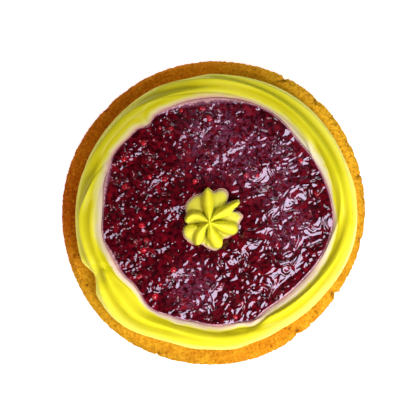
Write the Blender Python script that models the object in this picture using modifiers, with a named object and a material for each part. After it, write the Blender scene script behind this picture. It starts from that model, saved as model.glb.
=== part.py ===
"""Open-faced round cookie: a biscuit, a piped ring of icing, a pool of jam inside it, and a piped star.

Sizes are in millimetres and angles in degrees, counter-clockwise from +X as seen from above.
The ring's angles run past 360 where a ridge crosses +X.
"""

import math
import random

import bmesh
import bpy

MM = 0.001
GAP = 0.3

# Biscuit: a thick disc with a slightly uneven rim, baked cracks and rounded edges.
BISCUIT_RADIUS = 45.0
BISCUIT_HEIGHT = 9.0
# Waves are (count round the circle, amount, angle of one crest).
BISCUIT_WAVES = ((1, 0.27, 164), (2, 0.65, 49), (3, 0.13, 22), (5, 0.08, 4), (6, 0.12, 50))
# Inset from the rim and height above the base, from the top over the edge and down to the foot.
BISCUIT_EDGE = (
    (3.0, 9.0),
    (1.9, 8.9),
    (1.1, 8.5),
    (0.45, 7.5),
    (0.05, 5.8),
    (0.0, 3.6),
    (0.3, 1.6),
    (0.9, 0.35),
    (2.0, 0.0),
)
BISCUIT_STEPS = 144
RIM_ROUGHNESS = 0.09
BISCUIT_SEED = 4
# Cracks are (angle, depth, half width in degrees, how far they reach in over the top edge).
CRACKS = (
    (6.0, 0.35, 2.0, 1.6),
    (14.5, 0.45, 1.5, 2.6),
    (28.0, 0.45, 2.0, 1.6),
    (47.5, 0.60, 2.4, 2.0),
    (62.0, 0.95, 1.8, 2.9),
    (136.0, 0.40, 3.0, 1.0),
    (248.0, 0.55, 1.3, 2.0),
    (304.5, 1.10, 2.4, 2.9),
    (326.3, 1.50, 1.7, 2.4),
    (349.5, 0.45, 1.5, 2.4),
)

# Ring of icing: one rope piped round, with ridges that wind from its inner side to its outer side.
RING_STEPS = 100
RING_OUTER_RADIUS = 41.18
RING_OUTER_WAVES = (
    (1, 0.33, 25),
    (2, 0.95, 32),
    (3, 0.53, 109),
    (4, 0.15, 68),
    (5, 0.12, 62),
    (6, 0.18, 47),
)
RING_INNER_RADIUS = 33.32
RING_INNER_WAVES = (
    (1, 0.67, 58),
    (2, 0.19, 0),
    (3, 0.32, 2),
    (4, 0.51, 82),
    (5, 0.24, 63),
    (6, 0.11, 54),
)
# Swells are (angle, amount outward, half width in degrees).
RING_OUTER_SWELLS = (
    (101.0, -0.6, 12.0),
    (207.5, -2.2, 8.5),
    (226.0, 0.9, 16.0),
    (250.0, -0.7, 14.0),
    (279.0, 0.6, 12.0),
)
RING_INNER_SWELLS = (
    (42.0, -0.6, 16.0),
    (127.0, -1.4, 6.0),
    (150.0, 0.8, 14.0),
    (176.0, -0.6, 12.0),
    (193.0, 0.6, 10.0),
    (222.0, -0.9, 11.0),
    (237.0, 1.0, 11.0),
    (260.0, -0.6, 12.0),
    (290.0, 1.0, 9.0),
    (358.0, 0.2, 9.0),
)
ROPE_HEIGHT = 6.4
ROPE_WAIST = 2.8
ROPE_FOOT_ROUND = 3.2
INNER_SIDE_DROP = 0.40
GROOVE_DEPTH = 0.30
GROOVE_FULLNESS = 1.2
# How much of that depth the rope's two sides keep.
SIDE_GROOVE_SHARE = 0.25
GROOVE_SPACING = 60.0
# Where the piping ends on its own beginning: angle, slant across the rope, half width, depth.
SEAM_ANGLE = 206.5
SEAM_SLANT = 0.55
SEAM_HALF_WIDTH = 3.4
SEAM_DEPTH = 0.24
# The low lip beside the jam: its width, where it is wider or narrower, and where it is a flat ledge.
LIP_WIDTH = 1.9
LIP_SWELLS = (
    (40.0, 0.8, 35.0),
    (125.0, -0.4, 25.0),
    (190.0, 0.9, 30.0),
    (237.0, -0.7, 14.0),
    (270.0, 0.4, 16.0),
    (322.0, 1.0, 30.0),
    (5.0, -0.9, 14.0),
)
LEDGES = ((310.0, 1.0, 75.0), (247.0, 0.8, 26.0), (15.0, 0.7, 25.0))
LEDGE_RISE = 0.9
# Each ridge is a row of (angle round the ring, radius of its crest) from where it rises to where it ends.
RIDGES = (
    ((125, 32.4), (150, 34.2), (170, 37.6), (180, 39.6), (205, 39.4), (231, 42.6), (250, 39.7), (287, 39.7)),
    ((152, 33.2), (180, 35.0), (200, 35.8), (229, 37.7), (250, 36.1), (285, 38.6), (330, 40.6), (365, 42.1)),
    ((287, 33.3), (300, 34.6), (320, 35.9), (337, 37.9), (351, 39.9), (380, 40.9), (450, 40.9), (457, 41.1)),
    ((345, 34.8), (360, 37.0), (400, 37.6), (450, 39.4), (480, 40.8), (506, 40.2)),
    ((400, 34.7), (450, 35.6), (470, 36.8), (490, 38.8), (510, 39.4), (530, 40.9), (560, 41.4)),
)
# Angles round the rope's own section: 0 is outward, 90 up and 180 inward.
SECTION_STEPS = 30
SECTION_CROWDING = 1.2
RIDGE_TURN_UNDER = 32.0
RIDGE_FADE = 22.0

# Jam: a lumpy pool that fills the ring, with whole drupelets standing a little out of it.
JAM_DEPTH = 2.9
# Distance out as a share of the icing's inner edge, and height; the rim runs in under that edge.
JAM_RINGS = (0.16, 0.31, 0.45, 0.58, 0.70, 0.81, 0.90, 0.96)
JAM_RIM = ((0.988, 1.9), (1.004, 1.1), (1.012, 0.0))
JAM_STEPS = 72
JAM_SWELL = 0.35
DRUPELETS = 22
DRUPELET_RADII = (0.85, 1.2)
DRUPELET_SHOWS = 0.45
DRUPELET_SEED = 11

# Star: a low lobed base squeezed first, and six thick petals that turn in to one swirl.
STAR_CENTRE = (-1.35, -2.78)
STAR_STEPS = 96
STAR_RINGS = (0.10, 0.20, 0.30, 0.40, 0.50, 0.60, 0.69, 0.77, 0.84, 0.90, 0.95, 0.985)
STAR_FOOT = ((1.0, 0.55), (0.955, 0.0))
STAR_TOP_HEIGHT = 6.6
STAR_TIP_HEIGHT = 4.2
STAR_LOBE_HEIGHT = 2.5
STAR_REST = 0.75
# Outline of the star: (angle, radius) of each lobe tip and each notch between lobes.
STAR_OUTLINE = (
    (0.0, 9.0),
    (12.0, 10.1),
    (19.0, 9.3),
    (27.0, 7.9),
    (31.5, 10.5),
    (36.0, 10.9),
    (41.0, 10.1),
    (47.0, 7.8),
    (56.0, 10.1),
    (63.0, 10.8),
    (73.0, 10.5),
    (83.0, 9.3),
    (94.0, 10.2),
    (101.0, 9.2),
    (120.0, 9.2),
    (136.0, 9.0),
    (148.0, 8.5),
    (159.0, 7.5),
    (175.0, 7.4),
    (185.0, 6.6),
    (192.0, 8.0),
    (205.0, 8.6),
    (226.0, 8.4),
    (239.0, 7.9),
    (248.0, 7.0),
    (262.0, 7.4),
    (285.0, 8.5),
    (296.0, 8.1),
    (308.0, 6.5),
    (321.0, 7.2),
    (331.0, 7.8),
    (338.0, 8.6),
)
# Each petal is a row of round drops from the swirl out. Here are how much lower it lies than the others, and
# the distance from the swirl, the angle and the half width at some places along its middle line.
STAR_PETALS = (
    (0.0, ((0, 90, 0.35), (2, 93, 1), (3.7, 94.5, 1.55), (6, 94, 1.9), (8, 93, 1.65), (9.4, 94, 0.85))),
    (0.0, ((0, 50, 0.35), (1.4, 50, 0.6), (2.6, 46, 1.05), (4, 40, 1.5), (6.3, 34, 1.65), (8, 36, 1),
        (9.6, 35, 1.2))),
    (0.0, ((0, -20, 0.35), (1.4, -18, 0.7), (3, -17, 1.3), (4.7, -16, 1.75), (6.7, -15, 2.05))),
    (0.0, ((0, -78, 0.35), (1.5, -77, 0.7), (3, -76, 1.35), (4.5, -73, 1.85), (6.1, -68, 2.05))),
    (0.3, ((0, 225, 0.35), (1.8, 222, 0.7), (3, 225, 1.15), (4.4, 230, 1.6), (6, 237, 1.45), (6.9, 240, 1))),
    (0.3, ((0, 140, 0.35), (1, 141, 0.6), (2.4, 147, 1.1), (3.8, 150, 1.4), (5, 156, 1.4), (6, 165, 1.2),
        (6.4, 173, 1))),
    (2.2, ((4.4, 204, 1.2), (5.4, 205, 1.8), (6.3, 206, 2.2))),
)
STAR_DROPS = 30
# Hollows in the base: angle, half width in degrees and the share of the height that is lost.
STAR_CREASES = ((187.0, 10.0, 0.95), (257.0, 8.0, 0.6), (47.0, 5.0, 0.3), (27.0, 5.0, 0.3), (310.0, 6.0, 0.3))


def clear_scene():
    for item in list(bpy.data.objects):
        bpy.data.objects.remove(item, do_unlink=True)


def new_collection(name):
    collection = bpy.data.collections.new(name)
    bpy.context.scene.collection.children.link(collection)
    return collection


def new_material(name, colour, roughness, coat=0.0):
    material = bpy.data.materials.new(name)
    material.use_nodes = True
    shader = material.node_tree.nodes["Principled BSDF"]
    shader.inputs["Base Color"].default_value = (*colour, 1.0)
    shader.inputs["Roughness"].default_value = roughness
    shader.inputs["Metallic"].default_value = 0.0
    shader.inputs["Coat Weight"].default_value = coat
    return material


def new_object(name, mesh, material, collection):
    mesh.name = name
    mesh.materials.clear()
    mesh.materials.append(material)
    mesh.shade_smooth()
    item = bpy.data.objects.new(name, mesh)
    collection.objects.link(item)
    return item


def turned_mesh(profile, steps):
    """Solid of revolution from (radius, height) points that run from the top centre out and down."""
    line = bpy.data.meshes.new("profile")
    points = [(MM * radius, 0.0, MM * height) for radius, height in profile]
    line.from_pydata(points, [(index, index + 1) for index in range(len(points) - 1)], [])
    guide = bpy.data.objects.new("profile", line)
    bpy.context.scene.collection.objects.link(guide)
    screw = guide.modifiers.new("turn", "SCREW")
    screw.angle = math.tau
    screw.steps = steps
    screw.render_steps = steps
    screw.use_merge_vertices = True
    screw.merge_threshold = 0.00001
    graph = bpy.context.evaluated_depsgraph_get()
    mesh = bpy.data.meshes.new_from_object(guide.evaluated_get(graph))
    bpy.data.objects.remove(guide, do_unlink=True)
    bpy.data.meshes.remove(line)
    return mesh


def rope_mesh(steps, section_steps, radius, thickness):
    """A torus about +Z."""
    bpy.ops.mesh.primitive_torus_add(
        major_segments=steps,
        minor_segments=section_steps,
        major_radius=MM * radius,
        minor_radius=MM * thickness,
    )
    guide = bpy.context.object
    mesh = guide.data
    bpy.data.objects.remove(guide, do_unlink=True)
    return mesh


def shape_points(mesh, rule):
    """Moves each point to where the rule puts its (distance, angle, height) about +Z."""
    for vertex in mesh.vertices:
        x, y, z = (value / MM for value in vertex.co)
        place = rule(math.hypot(x, y), math.degrees(math.atan2(y, x)) % 360.0, z)
        vertex.co = [MM * value for value in place]


def polar(radius, angle, height, centre=(0.0, 0.0)):
    turn = math.radians(angle)
    return (centre[0] + radius * math.cos(turn), centre[1] + radius * math.sin(turn), height)


def smooth(value):
    value = min(1.0, max(0.0, value))
    return value * value * (3.0 - 2.0 * value)


def apart(first, second):
    """Signed difference of two angles, from -180 to 180."""
    return (first - second + 180.0) % 360.0 - 180.0


def waves(angle, parts):
    return sum(amount * math.cos(math.radians(count * (angle - crest))) for count, amount, crest in parts)


def swells(angle, parts):
    return sum(amount * (1.0 - smooth(abs(apart(angle, at)) / half)) for at, amount, half in parts)


def along(points, place):
    """Smooth curve through (place, value) points."""
    last = len(points) - 1
    index = 0
    while index < last - 1 and place > points[index + 1][0]:
        index += 1
    start, start_value = points[index]
    end, end_value = points[index + 1]
    before, before_value = points[max(0, index - 1)]
    beyond, beyond_value = points[min(last, index + 2)]
    width = end - start
    leave = (end_value - before_value) / (end - before) * width
    arrive = (beyond_value - start_value) / (beyond - start) * width
    share = (place - start) / width
    square = share * share
    cube = square * share
    return (
        (2.0 * cube - 3.0 * square + 1.0) * start_value
        + (cube - 2.0 * square + share) * leave
        + (3.0 * square - 2.0 * cube) * end_value
        + (cube - square) * arrive
    )


def biscuit_point(distance, angle, height):
    inset = BISCUIT_RADIUS - distance
    radius = distance * (1.0 + waves(angle, BISCUIT_WAVES) / BISCUIT_RADIUS)
    if inset > BISCUIT_EDGE[0][0] + 0.1:
        return polar(radius, angle, height)
    level = height
    for at, depth, half, reach in CRACKS:
        share = 1.0 - smooth(abs(apart(angle, at)) / half)
        radius -= depth * share * smooth(height / 4.0) * (1.0 - smooth(inset / reach))
        if height > 7.0:
            level -= 0.8 * depth * share * (1.0 - smooth((inset - 0.4) / reach))
    if 0.3 < height < 8.8:
        radius += random.uniform(-RIM_ROUGHNESS, RIM_ROUGHNESS)
    return polar(radius, angle, level)


def biscuit(material, collection):
    random.seed(BISCUIT_SEED)
    edge = [(BISCUIT_RADIUS - inset, height) for inset, height in BISCUIT_EDGE]
    mesh = turned_mesh([(0.0, BISCUIT_HEIGHT), *edge, (0.0, 0.0)], BISCUIT_STEPS)
    shape_points(mesh, biscuit_point)
    return new_object("biscuit", mesh, material, collection)


def ring_edges(turn):
    inner = RING_INNER_RADIUS + waves(turn, RING_INNER_WAVES) + swells(turn, RING_INNER_SWELLS)
    outer = RING_OUTER_RADIUS + waves(turn, RING_OUTER_WAVES) + swells(turn, RING_OUTER_SWELLS)
    return inner, outer


def crest_angles(turn):
    """Angles round the rope's section at which the ridges stand, from the outer side to the inner side."""
    inner, outer = ring_edges(turn)
    middle = 0.5 * (inner + outer)
    half_width = 0.5 * (outer - inner)
    found = []
    for ridge in RIDGES:
        start, end = ridge[0][0], ridge[-1][0]
        for place in (turn, turn + 360.0):
            if place < start - RIDGE_FADE or place > end + RIDGE_FADE:
                continue
            across = (along(ridge, min(end, max(start, place))) - middle) / half_width
            angle = math.degrees(math.acos(min(1.0, max(-1.0, across))))
            angle += (180.0 + RIDGE_TURN_UNDER - angle) * smooth((start - place) / RIDGE_FADE)
            angle -= (RIDGE_TURN_UNDER + angle) * smooth((place - end) / RIDGE_FADE)
            found.append(angle)
    return sorted(found + [-RIDGE_TURN_UNDER, 180.0 + RIDGE_TURN_UNDER])


def ridge_share(section, crests):
    """1 on a crest and less in the groove between two crests."""
    place = section if section < 270.0 else section - 360.0
    for lower, upper in zip(crests, crests[1:]):
        if lower <= place <= upper and upper > lower:
            share = (place - lower) / (upper - lower)
            depth = GROOVE_DEPTH * min(1.0, (upper - lower) / GROOVE_SPACING)
            return 1.0 - depth * math.sin(math.pi * share) ** GROOVE_FULLNESS
    return 1.0


def ring_point(turn, section, crests):
    inner, outer = ring_edges(turn)
    middle = 0.5 * (inner + outer)
    half_width = 0.5 * (outer - inner)
    across = math.cos(math.radians(section))
    upward = math.sin(math.radians(section))
    share = ridge_share(section, crests)
    kept = SIDE_GROOVE_SHARE + (1.0 - SIDE_GROOVE_SHARE) * max(0.0, upward)
    radius = middle + half_width * across * (1.0 - (1.0 - share) * kept)
    seam = apart(turn, SEAM_ANGLE) + SEAM_SLANT * (radius - middle)
    share *= 1.0 - SEAM_DEPTH * (1.0 - smooth(abs(seam) / SEAM_HALF_WIDTH)) * max(0.0, upward)
    floor = BISCUIT_HEIGHT + GAP
    if upward > 0.0:
        rise = (ROPE_HEIGHT - ROPE_WAIST) * upward * share
        rise *= 1.0 - INNER_SIDE_DROP * smooth(-1.1 * across)
        from_jam = (radius - inner) / (LIP_WIDTH + swells(turn, LIP_SWELLS))
        sunk = min(1.0, swells(turn, LEDGES)) * (1.0 - smooth((from_jam - 0.8) / 0.35))
        rise += (min(rise, LEDGE_RISE) - rise) * sunk
        return polar(radius, turn, floor + ROPE_WAIST + rise)
    drop = min(ROPE_WAIST, ROPE_FOOT_ROUND * -upward)
    return polar(radius, turn, floor + ROPE_WAIST - drop)


def icing_ring(material, collection):
    middle = 0.5 * (RING_INNER_RADIUS + RING_OUTER_RADIUS)
    mesh = rope_mesh(RING_STEPS, SECTION_STEPS, middle, ROPE_WAIST)

    def rope_point(distance, turn, height):
        from_top = 90.0 - math.degrees(math.atan2(height, distance - middle))
        from_top = (from_top + 180.0) % 360.0 - 180.0
        crowded = 180.0 * (abs(from_top) / 180.0) ** SECTION_CROWDING
        section = 90.0 - math.copysign(crowded, from_top)
        return ring_point(turn, section, crest_angles(turn))

    shape_points(mesh, rope_point)
    return new_object("icing_ring", mesh, material, collection)


def star_radius(angle):
    """Outline of the star at an angle, through its tips and notches."""
    place = angle % 360.0
    wrapped = [(at - 360.0, radius) for at, radius in STAR_OUTLINE[-2:]]
    wrapped += list(STAR_OUTLINE)
    wrapped += [(at + 360.0, radius) for at, radius in STAR_OUTLINE[:2]]
    return along(wrapped, place)


def jam_height(x, y):
    """Height of the jam's surface over its floor, level under the star."""
    ripple = math.sin(0.42 * x + 0.9) * math.cos(0.37 * y - 0.4) + 0.6 * math.sin(0.23 * x - 0.61 * y)
    from_star = math.hypot(x - STAR_CENTRE[0], y - STAR_CENTRE[1])
    level = JAM_DEPTH + JAM_SWELL * ripple
    rest = JAM_DEPTH - STAR_REST
    return rest + (level - rest) * smooth((from_star - 10.5) / 2.5)


def drupelets(collection):
    """Low round drupelets, scattered on the jam clear of the star, the icing and each other."""
    random.seed(DRUPELET_SEED)
    placed = []
    while len(placed) < DRUPELETS:
        angle = random.uniform(0.0, 360.0)
        distance = 29.0 * math.sqrt(random.random())
        radius = random.uniform(*DRUPELET_RADII)
        x, y, _ = polar(distance, angle, 0.0)
        if math.hypot(x - STAR_CENTRE[0], y - STAR_CENTRE[1]) < 14.5:
            continue
        if any(math.hypot(x - other[0], y - other[1]) < radius + other[2] + 1.5 for other in placed):
            continue
        placed.append((x, y, radius))
    for number, (x, y, radius) in enumerate(placed):
        shape = bmesh.new()
        bmesh.ops.create_uvsphere(shape, u_segments=8, v_segments=5, radius=radius * MM)
        top = BISCUIT_HEIGHT + GAP + jam_height(x, y) + DRUPELET_SHOWS
        bmesh.ops.translate(shape, verts=shape.verts, vec=(x * MM, y * MM, (top - radius) * MM))
        mesh = bpy.data.meshes.new(f"drupelet_{number}")
        shape.to_mesh(mesh)
        shape.free()
        item = bpy.data.objects.new(mesh.name, mesh)
        item.hide_render = True
        item.display_type = "WIRE"
        collection.objects.link(item)


def jam_point(distance, turn, height):
    radius = distance / RING_INNER_RADIUS * ring_edges(turn)[0]
    x, y, _ = polar(radius, turn, 0.0)
    if height > JAM_RIM[0][1] + 0.1:
        height = jam_height(x, y)
    return (x, y, BISCUIT_HEIGHT + GAP + height)


def jam(material, collection, helpers):
    rows = [(share, JAM_DEPTH) for share in JAM_RINGS] + list(JAM_RIM)
    rings = [(share * RING_INNER_RADIUS, height) for share, height in rows]
    mesh = turned_mesh([(0.0, JAM_DEPTH), *rings, (0.0, 0.0)], JAM_STEPS)
    shape_points(mesh, jam_point)
    item = new_object("jam", mesh, material, collection)
    drupelets(helpers)
    union = item.modifiers.new("drupelets", "BOOLEAN")
    union.operation = "UNION"
    union.operand_type = "COLLECTION"
    union.collection = helpers
    union.solver = "EXACT"
    bpy.context.view_layer.objects.active = item
    bpy.ops.object.modifier_apply(modifier=union.name)
    for helper in list(helpers.objects):
        bpy.data.objects.remove(helper, do_unlink=True)
    return item


def petal_drops():
    """(x, y, half width, crest height) of the round drops that make the petals."""
    drops = []
    for lower, places in STAR_PETALS:
        lines = ([], [], [])
        for step, (out, angle, half) in enumerate(places):
            x, y, _ = polar(out, angle, 0.0)
            for line, value in zip(lines, (x, y, half)):
                line.append((step, value))
        for number in range(STAR_DROPS):
            at = (len(places) - 1) * number / (STAR_DROPS - 1)
            x, y, half = (along(line, at) for line in lines)
            fall = (STAR_TOP_HEIGHT - STAR_TIP_HEIGHT) * (math.hypot(x, y) / 10.0) ** 1.2
            drops.append((x, y, half, STAR_TOP_HEIGHT - lower - fall))
    return drops


def star_height(angle, distance, outline, drops):
    """Height of the star over its foot: the higher of its lobed base and its petals' drops."""
    share = distance / outline
    height = STAR_LOBE_HEIGHT * max(0.0, 1.0 - share**4) ** 0.5 * (0.6 + 0.4 * smooth(share / 0.7))
    for at, half, lost in STAR_CREASES:
        height *= 1.0 - lost * (1.0 - smooth(abs(apart(angle, at)) / half)) * smooth(distance / 3.0)
    x, y, _ = polar(distance, angle, 0.0)
    for drop_x, drop_y, half, crest in drops:
        off = math.hypot(x - drop_x, y - drop_y) / half
        if off < 1.0:
            height = max(height, crest * (0.30 + 0.70 * (1.0 - off**2) ** 0.42))
    core = STAR_TOP_HEIGHT - 0.4 - 1.6 * distance
    return max(height, core)


def icing_star(material, collection):
    rows = [(share, STAR_TOP_HEIGHT) for share in STAR_RINGS] + list(STAR_FOOT)
    mesh = turned_mesh([(0.0, STAR_TOP_HEIGHT), *rows, (0.0, 0.0)], STAR_STEPS)
    drops = petal_drops()

    def star_point(share, angle, height):
        outline = star_radius(angle)
        if height > STAR_FOOT[0][1] + 0.1:
            height = max(STAR_FOOT[0][1] + 0.15, star_height(angle, share * outline, outline, drops))
        floor = BISCUIT_HEIGHT + GAP + JAM_DEPTH - STAR_REST + GAP
        return polar(share * outline, angle, floor + height, STAR_CENTRE)

    shape_points(mesh, star_point)
    return new_object("icing_star", mesh, material, collection)


def centre_on_origin(items):
    """Moves the mesh points so that the whole is centred on the origin in X and Y."""
    for axis in (0, 1):
        values = [vertex.co[axis] for item in items for vertex in item.data.vertices]
        shift = -0.5 * (min(values) + max(values))
        for item in items:
            for vertex in item.data.vertices:
                vertex.co[axis] += shift


def main():
    clear_scene()
    collection = new_collection("linzer_cookie")
    helpers = new_collection("helpers")
    helpers.hide_render = True
    crust = new_material("baked_biscuit", (0.60, 0.27, 0.035), 0.78)
    icing = new_material("lemon_icing", (0.80, 0.72, 0.045), 0.42)
    fruit = new_material("berry_jam", (0.10, 0.003, 0.008), 0.14, coat=0.6)
    items = [
        biscuit(crust, collection),
        icing_ring(icing, collection),
        jam(fruit, collection, helpers),
        icing_star(icing.copy(), collection),
    ]
    centre_on_origin(items)


main()
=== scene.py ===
# %% [markdown]
# # An open-faced linzer cookie
# A baked biscuit carries one thick rope of lemon icing, piped round in a ring. Seedy red jam fills the
# ring, and a small icing star is piped on the jam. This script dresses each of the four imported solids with
# a fine surface and a finish of its own. The main sizes are the solids' own, and all stays in their box.
# Fine forms are laid out afresh: the crumb and pits, the jam's lumps, and its whole drupelets.

import math

import bpy
import numpy as np
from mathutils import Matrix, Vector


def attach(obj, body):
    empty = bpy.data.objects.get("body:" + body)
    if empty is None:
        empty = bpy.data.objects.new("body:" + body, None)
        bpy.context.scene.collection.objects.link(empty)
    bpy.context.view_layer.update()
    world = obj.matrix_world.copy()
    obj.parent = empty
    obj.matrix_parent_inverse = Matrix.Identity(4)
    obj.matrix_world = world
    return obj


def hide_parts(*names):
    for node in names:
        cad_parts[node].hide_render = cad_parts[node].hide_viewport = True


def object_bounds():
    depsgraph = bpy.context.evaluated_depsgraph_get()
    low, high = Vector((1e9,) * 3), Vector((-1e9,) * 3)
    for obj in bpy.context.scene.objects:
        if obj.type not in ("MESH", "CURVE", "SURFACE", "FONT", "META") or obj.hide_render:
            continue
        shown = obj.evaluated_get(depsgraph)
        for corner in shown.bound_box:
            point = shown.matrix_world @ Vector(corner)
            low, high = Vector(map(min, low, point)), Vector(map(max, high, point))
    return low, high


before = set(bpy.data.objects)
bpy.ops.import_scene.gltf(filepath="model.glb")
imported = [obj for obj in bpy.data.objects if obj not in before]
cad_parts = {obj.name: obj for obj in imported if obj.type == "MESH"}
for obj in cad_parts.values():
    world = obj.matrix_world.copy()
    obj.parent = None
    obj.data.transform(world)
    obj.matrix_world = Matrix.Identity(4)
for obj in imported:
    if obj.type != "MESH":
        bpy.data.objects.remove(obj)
cad_low, cad_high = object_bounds()
print("nodes:", sorted(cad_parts))
print("box in mm:", [round(1000 * (high - low), 2) for low, high in zip(cad_low, cad_high)])

# %% [markdown]
# ## Working in millimetres
# The sizes below are millimetres and degrees, because that is how a baker would measure the cookie.
# Angles run counter-clockwise from +X as seen from above. A few small curves do most of the shaping: an
# ease from 0 to 1, a wave round the circle, a local swell, and a smooth line through measured places.

# %% Curves that shape the pieces
MM = 0.001


def smooth(value):
    value = np.clip(value, 0.0, 1.0)
    return value * value * (3.0 - 2.0 * value)


def apart(first, second):
    """Signed difference of two angles, from -180 to 180."""
    return (first - second + 180.0) % 360.0 - 180.0


def near(off, half):
    """1 at no distance, easing to 0 at the half width."""
    return 1.0 - smooth(np.abs(off) / half)


def waves(angle, parts):
    return sum(amount * np.cos(np.radians(count * (angle - crest))) for count, amount, crest in parts)


def swells(angle, parts):
    return sum(amount * near(apart(angle, at), half) for at, amount, half in parts)


def along(points, place):
    """Smooth curve through (place, value) points, for an array of places."""
    at = np.array([point[0] for point in points], float)
    value = np.array([point[1] for point in points], float)
    slope = np.gradient(value, at)
    index = np.clip(np.searchsorted(at, place, side="right") - 1, 0, len(at) - 2)
    width = at[index + 1] - at[index]
    share = np.clip((place - at[index]) / width, 0.0, 1.0)
    square, cube = share**2, share**3
    return (
        (2.0 * cube - 3.0 * square + 1.0) * value[index]
        + (cube - 2.0 * square + share) * slope[index] * width
        + (3.0 * square - 2.0 * cube) * value[index + 1]
        + (cube - square) * slope[index + 1] * width
    )


def circle_of(count):
    return np.arange(count) * 360.0 / count


def from_polar(distance, angle):
    """x and y of a place at a distance and an angle from the middle."""
    turn = np.radians(angle)
    return distance * np.cos(turn), distance * np.sin(turn)


print("half way up the ease:", float(smooth(0.5)))

# %% [markdown]
# ## Making a mesh from rows of points
# Each piece is a closed skin: rows of points that run round the cookie, joined by four-sided faces. A
# skin made this way has no seam, and numpy works out all its points at once.

# %% Mesh builders
# The solids were centred on their own box, which moved them by this much.
CENTRING = (0.148, 0.019)
# The dressed cookie stays this far inside the solids' box.
BOX_MARGIN = 0.004


def new_object(name, data):
    made = bpy.data.objects.new(name, data)
    bpy.context.scene.collection.objects.link(made)
    return made


def mesh_object(name, points, faces, values):
    """A smooth-shaded mesh from points in millimetres, with named values stored at the points."""
    points = np.asarray(points, float) + (*CENTRING, 0.0)
    low, high = np.array(cad_low) / MM + BOX_MARGIN, np.array(cad_high) / MM - BOX_MARGIN
    mesh = bpy.data.meshes.new(name)
    mesh.from_pydata(np.clip(points, low, high) * MM, [], faces)
    for label, numbers in values.items():
        attribute = mesh.attributes.new(label, "FLOAT", "POINT")
        attribute.data.foreach_set("value", np.asarray(numbers, np.float32))
    mesh.shade_smooth()
    mesh.validate()
    return new_object(name, mesh)


def row_faces(rows, columns, closed_rows=False):
    """Quads between neighbouring rows; the columns always run right round."""
    row = np.arange(rows if closed_rows else rows - 1)[:, None] * columns
    after_row = (row + columns) % (rows * columns)
    column = np.arange(columns)[None, :]
    after = (column + 1) % columns
    quads = np.stack([row + column, row + after, after_row + after, after_row + column], axis=-1)
    return quads.reshape(-1, 4).tolist()


def fan(first, columns, tip, upward):
    """Triangles from one row of points to a single point."""
    ring = [(first + column, first + (column + 1) % columns) for column in range(columns)]
    return [(a, b, tip) if upward else (b, a, tip) for a, b in ring]


def closed_skin(name, x, y, height, ends, values, upward):
    """A skin from rows of points that run upward or downward, closed by a point at each end."""
    rows, columns = x.shape
    points = np.stack([x, y, height], axis=-1).reshape(-1, 3)
    first_end, last_end = len(points), len(points) + 1
    faces = row_faces(rows, columns)
    if not upward:
        faces = [face[::-1] for face in faces]
    faces += fan(0, columns, first_end, not upward)
    faces += fan((rows - 1) * columns, columns, last_end, upward)
    values = {label: np.append(numbers.ravel(), [0.0, 0.0]) for label, numbers in values.items()}
    return mesh_object(name, np.concatenate([points, ends]), faces, values)


# %% [markdown]
# ## Node graphs in code
# A finish and a Geometry Nodes tree are both graphs of nodes. Wrapping a socket in a small class lets
# Python's own signs add the Math nodes, so that a mask reads like a formula, and every other node goes
# through one method. Paint holds the graph of a finish. Shaping holds a tree that works on one mesh, with
# its sizes as named inputs, and turns what it makes into a plain mesh.

# %% Sockets that do sums
class Wire:
    """A socket that adds Math nodes when Python works on it."""

    def __init__(self, graph, socket):
        self.graph, self.socket = graph, socket

    def maths(self, operation, first, second):
        return self.graph.add("ShaderNodeMath", {"operation": operation}, {0: first, 1: second})

    def __add__(self, other):
        return self.maths("ADD", self, other)

    def __sub__(self, other):
        return self.maths("SUBTRACT", self, other)

    def __rsub__(self, other):
        return self.maths("SUBTRACT", other, self)

    def __mul__(self, other):
        return self.maths("MULTIPLY", self, other)

    def __truediv__(self, other):
        return self.maths("DIVIDE", self, other)

    def __pow__(self, other):
        return self.maths("POWER", self, other)

    __radd__ = __add__
    __rmul__ = __mul__


class Graph:
    """A tree of nodes, and the one method that adds any node to it."""

    def __init__(self, tree):
        self.tree = tree

    def add(self, kind, settings=None, inputs=None, output=0):
        node = self.tree.nodes.new(kind)
        for name, value in (settings or {}).items():
            setattr(node, name, value)
        for key, value in (inputs or {}).items():
            self.feed(node.inputs[key], value)
        return Wire(self, node.outputs[output])

    def feed(self, socket, value):
        if isinstance(value, Wire):
            self.tree.links.new(value.socket, socket)
        else:
            socket.default_value = value

    def between(self, value, low, high):
        """0 below low, 1 above high and an ease between them."""
        settings = {"interpolation_type": "SMOOTHSTEP"}
        return self.add("ShaderNodeMapRange", settings, {"Value": value, "From Min": low, "From Max": high})

    def noise(self, place, per_mm, detail=3.0, roughness=0.5, distortion=0.0):
        """Cloudy patches from 0 to 1, so many to a millimetre."""
        inputs = {"Vector": place, "Scale": per_mm / MM, "Detail": detail}
        inputs.update({"Roughness": roughness, "Distortion": distortion})
        return self.add("ShaderNodeTexNoise", None, inputs)

    def cells(self, place, per_mm, smoothness):
        """Distance from the middle of the nearest cell, eased where two cells meet."""
        inputs = {"Vector": place, "Scale": per_mm / MM, "Smoothness": smoothness}
        return self.add("ShaderNodeTexVoronoi", {"feature": "SMOOTH_F1"}, inputs, "Distance")


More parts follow.
